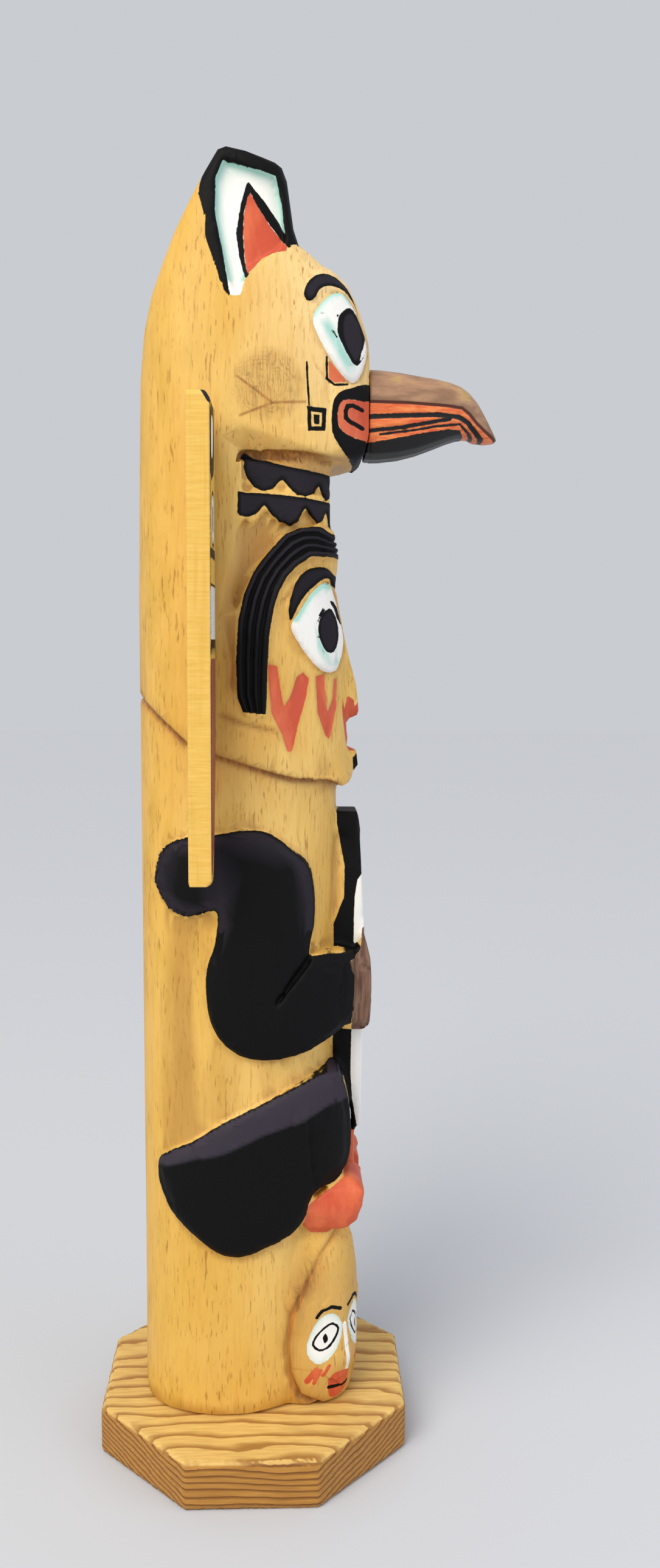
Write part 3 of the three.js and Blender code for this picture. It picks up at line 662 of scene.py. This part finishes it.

# Painted highlight on the black paint: a greyer sheen on the leg's top bevel, a band along the upper arm, the
# feathers, the brows and the hair ridges. The grey centres of the pupils are paint.
grey = np.zeros(len(places))
grey += np.clip((distance_to(side, LEG_RIDGE, closed=False) < 90) * (leg < -0.4), 0, 1) * np.clip(
    (height - np.interp(front, [p[0] for p in LEG_RIDGE], [p[1] for p in LEG_RIDGE])) / 1.5, 0, 1)
grey += 0.55 * step(arm + 0.6, 0.4) * step(-(arm + 4.6), 1.0) * (height > 224)
grey += 0.5 * step(either(upper_feathers, lower_feathers) + 1.0, 0.6) + 0.6 * step(head_brow + 0.9, 0.6)
grey += 0.35 * step(face_brow + 1, 0.6) + 0.4 * step(face_pupil + 0.9,
                                                     0.4) + 0.55 * step(distance_to(side, HEAD_PUPIL), 0.4)
grey += 0.55 * step(hair, 0.5) * (0.5 - 0.5 * np.cos(strand * 8 * math.pi)) ** 2 * np.clip((height - 330) / 25,
                                                                                           0.15, 1)

mint = np.zeros(len(places))
mint += np.exp(-np.clip(-ear_hollow, 0, 9) / 1.5) * (ear_side < 1) * (height > 470)
upper_lid = [(22, 458), (25.4, 463.4), (29.3, 467.5), (34, 469), (37, 466)]
under_iris = [(27.6, 456.4), (30, 451.4), (33.4, 445.6), (36.6, 441)]
mint += 0.8 * np.exp(-(distance_to(side, upper_lid, closed=False) / 1.5) ** 2)
mint += 0.9 * np.exp(-(distance_to(side, under_iris, closed=False) / 1.9) ** 2)
face_upper = [(16.6, 346), (19, 350.4), (22.6, 355.8), (26.4, 359), (29, 358.6)]
face_lower = [(23, 341), (25, 336.6), (27, 333), (29.4, 329.6), (32, 329.6)]
mint += 1.0 * np.exp(-(distance_to(side, face_upper, closed=False) / 1.3) ** 2)
mint += 0.7 * np.exp(-(distance_to(side, face_lower, closed=False) / 1.5) ** 2)
mint += 0.5 * np.exp(-np.clip(-small_eye, 0, 9) / 1.2) * (small_eye < 0)

# Painted shade, kept on the points: along the undercut and the chin line, in the side groove and the small head's
# rim, under the jaw, round the eyes and the cheek marks, in a strip in front of the wing, in the forehead gouges,
# across the small head and beside the hair. The knot's cracks are darkened too, as the wood's own colour.
stain = np.zeros(len(places))
stain += 1.2 * np.exp(-(undercut / 1.3) ** 2) + 0.9 * np.exp(-(chin_line / 0.9) ** 2)
stain += 0.45 * np.exp(-(side_groove / 1.0) ** 2)
stain += 0.5 * np.exp(-(rim / 1.4) ** 2) + 0.4 * np.clip(on_bevel * under_jaw / 3, 0, 1)

stain += 0.55 * np.exp(-(either(np.abs(head_eye), np.abs(face_eye)) / 0.8) ** 2)
stain += 0.5 * np.exp(-(np.abs(cheek_v) / 0.7) ** 2)
stain += 0.3 * np.exp(-(distance_to(side, [(-9, 398), (-8.6, 340), (-8.4, 306)], closed=False) / 2.4) ** 2)
on_small_head = (off_face < 1) * np.clip((88 - height) / 12, 0, 1)
stain += on_small_head * (0.36 + 0.35 * np.exp(-(rim / 4) ** 2))
stain += 0.5 * np.clip(-gouges - 0.2, 0, 1)
stain = spread(stain, 3)
stain += 0.9 * np.exp(-(either(*[distance_to(side, crack, closed=False) for crack in KNOT_CRACKS]) / 0.5) ** 2)
stain += 0.55 * np.clip((409.4 - height) / 2, 0, 1) * (height > 398) * (front > -4)
stain += 0.22 * np.exp(-np.clip(hair - 0.3, 0, 9) / 1.6) * (hair > 0)

keep_on_points(pole, black=black, white=white, red=red, brown=brown, hollow=hollow, grey=np.clip(grey, 0, 1),
               mint=np.clip(mint, 0, 1), stain=np.clip(stain, 0, 1))

bpy.ops.object.shade_smooth()


def read(tree, name):
    """The number stored on the points under a name."""
    return add_node(tree, "ShaderNodeAttribute", {"attribute_name": name}).outputs["Fac"]


def blended(tree, amount, under, over, how="MIX"):
    """One colour over another. A colour is a hex value or an output."""
    mixed = add_node(tree, "ShaderNodeMix", {"data_type": "RGBA", "blend_type": how})
    for socket, value in ((mixed.inputs[0], amount), (mixed.inputs[6], under), (mixed.inputs[7], over)):
        if isinstance(value, bpy.types.NodeSocket):
            tree.links.new(value, socket)
        else:
            socket.default_value = linear(value) if isinstance(value, str) else value
    return mixed.outputs[2]


def calculate(tree, operation, *values):
    """A sum on outputs and numbers."""
    made = add_node(tree, "ShaderNodeMath", {"operation": operation})
    for socket, value in zip(made.inputs, values):
        if isinstance(value, bpy.types.NodeSocket):
            tree.links.new(value, socket)
        else:
            socket.default_value = value
    return made.outputs[0]


def speckle(tree, where, size, detail=3.0, stretch=(1, 1, 1), roughness=0.55):
    """Noise with patches about `size` millimetres across, drawn out along an axis."""
    placed = add_node(tree, "ShaderNodeMapping", inputs={"Vector": where,
                                                         "Scale": [1000 / size / s for s in stretch]})
    return add_node(tree, "ShaderNodeTexNoise", inputs={
        "Vector": placed.outputs["Vector"], "Scale": 1.0, "Detail": detail, "Roughness": roughness,
    }).outputs["Fac"]


def between(tree, value, low, high, out_low=0.0, out_high=1.0):
    """A value taken from one range to another and held inside it."""
    return add_node(tree, "ShaderNodeMapRange", inputs={
        "Value": value, "From Min": low, "From Max": high, "To Min": out_low, "To Max": out_high,
    }).outputs["Result"]


def covered(tree, name, wobble, soft=0.1):
    """How much of a colour lies at a point, from its distance to the edge of the paint."""
    moved = calculate(tree, "ADD", read(tree, name), wobble)
    return between(tree, moved, -soft, soft, 1.0, 0.0)


# Yellow cedar, knife-finished: pale and fine, with short darker flecks along the grain, and yellower and darker
# towards the back. The front of the bird's head is lightened by a painted highlight, and the carving's hollows,
# grooves and undercuts are darkened by painted shade. The paint is thin flat enamel over the tool marks.
tree, out, cedar = new_material("painted_yellow_cedar")
where = add_node(tree, "ShaderNodeTexCoord").outputs["Object"]
apart = add_node(tree, "ShaderNodeSeparateXYZ", inputs={"Vector": where}).outputs
broad = speckle(tree, where, 38, 3.0, (1, 1, 2.2))
streak = speckle(tree, where, 1.7, 4.0, (1, 1, 10))
tick = speckle(tree, where, 0.95, 2.0, (1, 1, 7), 0.5)
patch = speckle(tree, where, 12, 4.0, (1, 1, 2.4), 0.6)
wobble = between(tree, speckle(tree, where, 2.0, 3.0), 0.3, 0.7, -0.12, 0.12)
behind = between(tree, apart["Y"], 0.0, 0.045)
# Painted highlight: the front of the bird's head is made paler, where the light falls brightest.
high = calculate(tree, "MULTIPLY", between(tree, apart["Z"], 0.395, 0.46), between(tree, apart["Y"], 0.01, -0.03))
wood = blended(tree, between(tree, broad, 0.36, 0.64), "#deae50", "#e9c16c")
wood = blended(tree, calculate(tree, "MULTIPLY", behind, 0.6), wood, "#d8a83e")
wood = blended(tree, calculate(tree, "MULTIPLY", high, 0.65), wood, "#f2d7a2")
wood = blended(tree, between(tree, streak, 0.48, 0.72, 0.0, 0.4), wood, "#cb953f")
smudged = calculate(tree, "MULTIPLY", between(tree, patch, 0.46, 0.68, 0.0, 0.55), behind)
wood = blended(tree, smudged, wood, "#c0942a")
ticks = calculate(tree, "MULTIPLY", between(tree, tick, 0.59, 0.67), between(tree, patch, 0.38, 0.62, 0.12, 0.75))
wood = blended(tree, ticks, wood, "#a06c2a")

# A branch ran out through each cheek, and its rings show end on in the cut.
off_knot = calculate(tree, "ADD", apart["Y"], KNOT_CENTRE[0] / 1000)
over_knot = calculate(tree, "SUBTRACT", apart["Z"], KNOT_CENTRE[1] / 1000)
knot = calculate(tree, "SQRT", calculate(tree, "ADD", calculate(tree, "MULTIPLY", off_knot, off_knot),
                                       calculate(tree, "MULTIPLY", over_knot, over_knot)))
near_knot = calculate(tree, "MULTIPLY", between(tree, knot, 0.010, 0.0145, 1.0, 0.0),
                      between(tree, calculate(tree, "ABSOLUTE", apart["X"]), 0.028, 0.032))
ring_drift = between(tree, speckle(tree, where, 7, 3.0), 0.3, 0.7, -1.6, 1.6)
knot_rings = calculate(tree, "FRACT", calculate(tree, "ADD", calculate(tree, "MULTIPLY", knot, 620), ring_drift))
knot_rings = calculate(tree, "MULTIPLY", between(tree, knot_rings, 0.45, 0.95),
                       between(tree, speckle(tree, where, 5, 3.0), 0.38, 0.58))
scratches = between(tree, speckle(tree, where, 0.6, 2.0, (1, 1, 14)), 0.5, 0.62)
wood = blended(tree, calculate(tree, "MULTIPLY", near_knot, 0.45), wood, "#c79a50")
wood = blended(tree, calculate(tree, "MULTIPLY", calculate(tree, "MULTIPLY", near_knot, scratches), 0.4), wood,
               "#8f6f3a")
wood = blended(tree, calculate(tree, "MULTIPLY", calculate(tree, "MULTIPLY", near_knot, knot_rings), 0.6), wood,
               "#94703a")

# Painted shade: the wood is browned in the hollows of the carving, and more deeply where the shade was stored on
# the points, which also darkens the knot's cracks.
wood = blended(tree, between(tree, read(tree, "hollow"), 0.2, 0.9, 0.0, 0.5), wood, "#935f26")
wood = blended(tree, between(tree, read(tree, "stain"), 0.04, 1.0, 0.0, 0.9), wood,
               blended(tree, between(tree, streak, 0.4, 0.65), "#7c4719", "#b5762f"))

is_white, is_red = covered(tree, "white", wobble), covered(tree, "red", wobble)
is_brown, is_black = covered(tree, "brown", wobble), covered(tree, "black", wobble)
white_paint = blended(tree, between(tree, read(tree, "mint"), 0.05, 0.7, 0.0, 0.95), "#eeece5", "#9fd0c2")
red_paint = blended(tree, between(tree, patch, 0.4, 0.62), "#c64f31", "#da6c42")
# The black turns greyer under the painted highlight, and in the pupils' grey centres.
black_paint = blended(tree, between(tree, read(tree, "grey"), 0.1, 1.0), "#060607", "#36303a")
colour = blended(tree, is_white, wood, white_paint)
colour = blended(tree, is_red, colour, red_paint)
colour = blended(tree, is_brown, colour, blended(tree, between(tree, streak, 0.4, 0.62), "#5c3d2f", "#80624d"))
colour = blended(tree, is_black, colour, black_paint)

painted = calculate(tree, "MAXIMUM", calculate(tree, "MAXIMUM", is_white, is_red), is_black)
raised = calculate(tree, "ADD", calculate(tree, "MULTIPLY", streak, between(tree, painted, 0.0, 1.0, 0.7, 0.2)),
                   patch)
bump = add_node(tree, "ShaderNodeBump", inputs={"Strength": 0.35, "Distance": 0.0005, "Height": raised})
surface = add_node(tree, "ShaderNodeBsdfPrincipled", inputs={
    "Base Color": colour, "Roughness": between(tree, is_black, 0.0, 1.0, 0.48, 0.6), "IOR": 1.5,
    "Specular IOR Level": between(tree, is_black, 0.0, 1.0, 0.35, 0.14), "Normal": bump.outputs["Normal"],
})
tree.links.new(surface.outputs["BSDF"], out.inputs["Surface"])
pole.data.materials.append(cedar)
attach(pole, "root")
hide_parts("pole")


# ---- The board: an eight-sided piece of fir, sawn all round, its arrises knocked off by hand ----
# The grain runs from front to back. The early wood is pale, and the late wood is hard and dark.

BOARD_REACH = 63.5
BOARD_THICK = 20
RING_SPACING = 2.4
PITH_ACROSS = 0.14
PITH_BELOW = 0.45

board = carving_from("base", "sawn_board", 0.0012)
places = places_of(board)
facings = facings_of(board)
rim_across = np.max([np.abs(places[:, 0] * math.cos(a) + places[:, 1] * math.sin(a))
                     for a in np.arange(4) * math.pi / 4], axis=0)
from_rim = BOARD_REACH - rim_across
from_face = np.minimum(places[:, 2], BOARD_THICK - places[:, 2])
on_edge = np.exp(-(from_rim + from_face) / 1.4)
sawn = np.sin(places[:, 2] * 2.1 + np.sin(places[:, 0] * 0.2) * 2) * (np.abs(facings[:, 2]) < 0.4)
push_out(board, 0.06 * sawn - on_edge * np.clip(np.random.default_rng(5).normal(0.25, 0.3, len(places)), 0, 0.9))
bpy.ops.object.shade_smooth()

# Fir with a thin clear coat. The rings are 2.4 mm apart, nearly level, and open out on the top.
tree, out, fir = new_material("sawn_fir")
where = add_node(tree, "ShaderNodeTexCoord").outputs["Object"]
apart = add_node(tree, "ShaderNodeSeparateXYZ", inputs={"Vector": where}).outputs
drift = between(tree, speckle(tree, where, 55, 2.0, (0.6, 1.6, 0.6)), 0.3, 0.7, -0.005, 0.005)
ripple = between(tree, speckle(tree, where, 6, 2.0, (1, 3, 1)), 0.3, 0.7, -0.0003, 0.0003)
off_pith = calculate(tree, "ADD", calculate(tree, "ADD", apart["X"], -PITH_ACROSS), drift)
over_pith = calculate(tree, "ADD", calculate(tree, "ADD", apart["Z"], PITH_BELOW), ripple)
ring = calculate(tree, "SQRT", calculate(tree, "ADD", calculate(tree, "MULTIPLY", off_pith, off_pith),
                                       calculate(tree, "MULTIPLY", over_pith, over_pith)))
year = calculate(tree, "FRACT", calculate(tree, "MULTIPLY", ring, 1000 / RING_SPACING))
late = calculate(tree, "MULTIPLY", between(tree, year, 0.55, 0.86), between(tree, year, 1.0, 0.95))
fibre = speckle(tree, where, 0.9, 3.0, (1, 14, 1))
facing_up = add_node(tree, "ShaderNodeSeparateXYZ", inputs={
    "Vector": add_node(tree, "ShaderNodeNewGeometry").outputs["Normal"]}).outputs["Z"]
# Lit and shaded copies of each colour: the top is lighter, and the sawn edges are darker with painted shade.
top = between(tree, facing_up, 0.4, 0.8)
early = blended(tree, top, "#b9843a", "#e2bd6e")
dark = blended(tree, top, "#6b3c10", "#9c6c30")
colour = blended(tree, between(tree, fibre, 0.35, 0.7, 0.0, 0.35), early, dark)
colour = blended(tree, calculate(tree, "MULTIPLY", late, 0.9), colour, dark)
colour = blended(tree, between(tree, speckle(tree, where, 30, 3.0), 0.5, 0.75, 0.0, 0.2), colour, "#9a6426")
ridge = calculate(tree, "ADD", late, calculate(tree, "MULTIPLY", fibre, 0.5))
bump = add_node(tree, "ShaderNodeBump", inputs={"Strength": 0.4, "Distance": 0.0003, "Height": ridge})
surface = add_node(tree, "ShaderNodeBsdfPrincipled", inputs={
    "Base Color": colour, "Roughness": 0.55, "IOR": 1.5, "Specular IOR Level": 0.35,
    "Normal": bump.outputs["Normal"],
})
tree.links.new(surface.outputs["BSDF"], out.inputs["Surface"])
board.data.materials.append(fir)
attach(board, "root")
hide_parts("base")


# ---- The beak: a separate block, shaped with a knife and glued to a flat cut on the head ----
# The upper half is painted brown, the lip red with black lines, and the lower half black.

GLUE_JOINT = 45.3
BEAK_BROWN = [
    (38, 455), (38, 430.4), (60.6, 430.1), (76.1, 429.4), (81.9, 428.8), (85, 426.7), (88.2, 423.3), (91.9, 420.5),
    (99, 416), (104, 416), (104, 455),
]
BEAK_LIP = [(38, 430.4), (60.6, 430.1), (76.1, 429.4), (81.9, 428.8), (85, 426.7), (88.2, 423.3), (91.9, 420.5),
            (99, 416)]
BEAK_UNDER = [
    (38, 414.4), (45.4, 415), (57.9, 417.2), (66.2, 419), (76.6, 420.8), (81.4, 420.8), (84.3, 417.7), (87.4, 414),
    (87, 400), (38, 400),
]
LIP_LINES = (
    ([(40, 424.6), (45.4, 424.6), (71.4, 425.9), (80.7, 425.4), (84.3, 423.6), (90.5, 417.4)], 1.9),
    ([(40, 418.9), (45.4, 419.3), (57.9, 420.7), (64.1, 421.9), (71.4, 423.3), (77, 424.4)], 1.5),
    ([(49.5, 418), (64.1, 420), (71.4, 421.5), (81.2, 422.7), (85.9, 419.1), (88.5, 415.4)], 0.9),
)
bill = carving_from("beak", "carved_beak", 0.0005)
smooth_where(bill, np.abs(places_of(bill)[:, 1] + GLUE_JOINT) > 0.8, 8)
places = places_of(bill)
side = np.column_stack([-places[:, 1], places[:, 2]])
lines = either(*[stroke(side, line, width_of) for line, width_of in LIP_LINES])
bill_brown = distance_to(side, BEAK_BROWN)
bill_under = distance_to(side, BEAK_UNDER)
outward = np.clip(np.abs(places[:, 0]) / 6, 0, 1)
cut = 0.35 * step(bill_brown, 0.5) + 0.3 * step(bill_under, 0.5) - 0.4 * step(lines, 0.4)
cut += dent(distance_to(side, BEAK_LIP, closed=False), 0.9, 0.4)
push_out(bill, cut * outward * (side[:, 0] > GLUE_JOINT + 0.5))
keep_on_points(bill, brown=bill_brown, black=either(bill_under, lines),
               lip=distance_to(side, BEAK_LIP, closed=False))
bpy.ops.object.shade_smooth()

# Flat enamel on carved cedar. The brown was put on thin, so paler wood shows through it in patches.
tree, out, enamel = new_material("painted_beak_wood")
where = add_node(tree, "ShaderNodeTexCoord").outputs["Object"]
wobble = between(tree, speckle(tree, where, 2.0, 3.0), 0.3, 0.7, -0.14, 0.14)
patch = speckle(tree, where, 8, 3.0, (1, 2.2, 0.8))
fine = speckle(tree, where, 1.4, 3.0, (1, 6, 1))
brown_paint = blended(tree, between(tree, patch, 0.42, 0.58), "#8c6a50", "#a98263")
brown_paint = blended(tree, between(tree, patch, 0.6, 0.66, 0.0, 0.75), brown_paint, "#b5955c")
brown_paint = blended(tree, between(tree, fine, 0.5, 0.75, 0.0, 0.35), brown_paint, "#6d5340")
red_paint = blended(tree, between(tree, fine, 0.35, 0.65), "#d0582f", "#e98a4c")
colour = blended(tree, covered(tree, "brown", wobble), red_paint, brown_paint)
# Painted shade: a dark reddish-brown line in the groove along the lip, under the step of the brown.
colour = blended(tree, between(tree, read(tree, "lip"), 0.45, 0.7, 1.0, 0.0), colour, "#53281a")
colour = blended(tree, covered(tree, "black", wobble), colour, "#0a0a0b")
bump = add_node(tree, "ShaderNodeBump", inputs={"Strength": 0.3, "Distance": 0.0003, "Height": fine})
surface = add_node(tree, "ShaderNodeBsdfPrincipled", inputs={
    "Base Color": colour, "Roughness": 0.45, "IOR": 1.5, "Specular IOR Level": 0.35,
    "Normal": bump.outputs["Normal"],
})
tree.links.new(surface.outputs["BSDF"], out.inputs["Surface"])
bill.data.materials.append(enamel)
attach(bill, "root")
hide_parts("beak")


# ---- The wings: two sawn cedar boards set against the sides of the log, painted on the front only ----
# Each is rounded at the shoulder and drawn to a point at the foot. Three feathers hang below a white band.

WING_INNER = 37.3
WING_OUTER = 63
FEATHERS = 3
WING_EYE = rounded([(50, 391), (57, 388), (58.6, 381), (55, 373.6), (49, 372), (43.4, 374.6), (41.4, 381),
                    (43.6, 388.4)])
WING_SHOULDER = rounded([(40.6, 416), (46, 421.6), (60.6, 421.8), (61.2, 396), (52, 396.4), (43, 400)], 3)
WING_SHOULDER_GAP = rounded([(47, 416.4), (57, 416.8), (57.6, 404), (50, 404.4)], 2)

# Fresh-sawn cedar, paler than the handled log, with the fine marks of the saw across its edge.
tree, out, wing_wood = new_material("sawn_and_painted_cedar")
where = add_node(tree, "ShaderNodeTexCoord").outputs["Object"]
wobble = between(tree, speckle(tree, where, 2.0, 3.0), 0.3, 0.7, -0.2, 0.2)
saw = speckle(tree, where, 0.7, 2.0, (14, 14, 1))
long_grain = speckle(tree, where, 1.6, 3.0, (1, 1, 22))
bare = blended(tree, between(tree, saw, 0.35, 0.7), "#e6bc5c", "#dcae4c")
bare = blended(tree, between(tree, long_grain, 0.5, 0.7, 0.0, 0.4), bare, "#d0a040")
colour = blended(tree, covered(tree, "white", wobble), bare, "#e9e6e0")
colour = blended(tree, covered(tree, "red", wobble),
                 colour, blended(tree, between(tree, long_grain, 0.4, 0.7), "#8f4a38", "#a8634a"))
colour = blended(tree, covered(tree, "mauve", wobble), colour, "#8b6f86")
colour = blended(tree, covered(tree, "black", wobble), colour, "#121012")
bump = add_node(tree, "ShaderNodeBump", inputs={"Strength": 0.3, "Distance": 0.0002, "Height": saw})
surface = add_node(tree, "ShaderNodeBsdfPrincipled", inputs={
    "Base Color": colour, "Roughness": 0.55, "IOR": 1.5, "Specular IOR Level": 0.35,
    "Normal": bump.outputs["Normal"],
})
tree.links.new(surface.outputs["BSDF"], out.inputs["Surface"])

for node in ("wing_left", "wing_right"):
    wing = carving_from(node, node + "_board", 0.0009)
    smooth_where(wing, np.full(len(wing.data.vertices), True), 2)
    places = places_of(wing)
    facings = facings_of(wing)
    push_out(wing, 0.05 * np.sin(places[:, 2] * 3.4) * (np.abs(facings[:, 0]) > 0.8))
    face = np.column_stack([np.abs(places[:, 0]), places[:, 2]])
    on_face = np.where(facings[:, 1] < -0.6, -9.0, 1.0)
    across_face, up = face.T
    foot_line = np.interp(across_face, [37, 46, 63], [300, 262, 248])
    edge = np.minimum(across_face - WING_INNER, WING_OUTER - across_face)
    eye = distance_to(face, WING_EYE)
    shoulder = without(distance_to(face, WING_SHOULDER), distance_to(face, WING_SHOULDER_GAP))
    feather = (across_face - WING_INNER) / (WING_OUTER - WING_INNER) * FEATHERS
    quill = np.abs(feather % 1 - 0.5) * 8.6
    tips = 331 + 4 * np.abs(np.sin(feather * math.pi))
    black_paint = either(
        shoulder, np.abs(eye) - 0.8, stroke(face, [(50, 384), (50, 379)], 5),
        np.abs(up - 369) - 1.8, np.abs(up - 357.6) - 0.5,
        np.maximum(tips - up, up - 338), np.where(up > foot_line, edge - 0.9, 9),
        np.maximum(4.0 - quill, np.maximum(up - 331, foot_line + 4 - up)),
    )
    black_corner = np.where(facings[:, 1] < 0.3, -(up - 420.6) + np.abs(places[:, 1] - 14.6) * 1.6, 9.0)
    keep_on_points(
        wing,
        black=either(np.maximum(black_paint, on_face), black_corner),
        white=np.maximum(either(eye, np.abs(up - 347.6) - 9.6, distance_to(face, WING_SHOULDER_GAP)), on_face),
        mauve=np.maximum(np.maximum(np.abs(quill - 2.2) - 0.35, np.abs(up - 347.6) - 9.6), on_face),
        red=np.maximum(np.maximum(up - 331, foot_line + 3 - up), on_face),
    )
    bpy.ops.object.shade_smooth()
    wing.data.materials.append(wing_wood)
    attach(wing, "root")
    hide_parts(node)
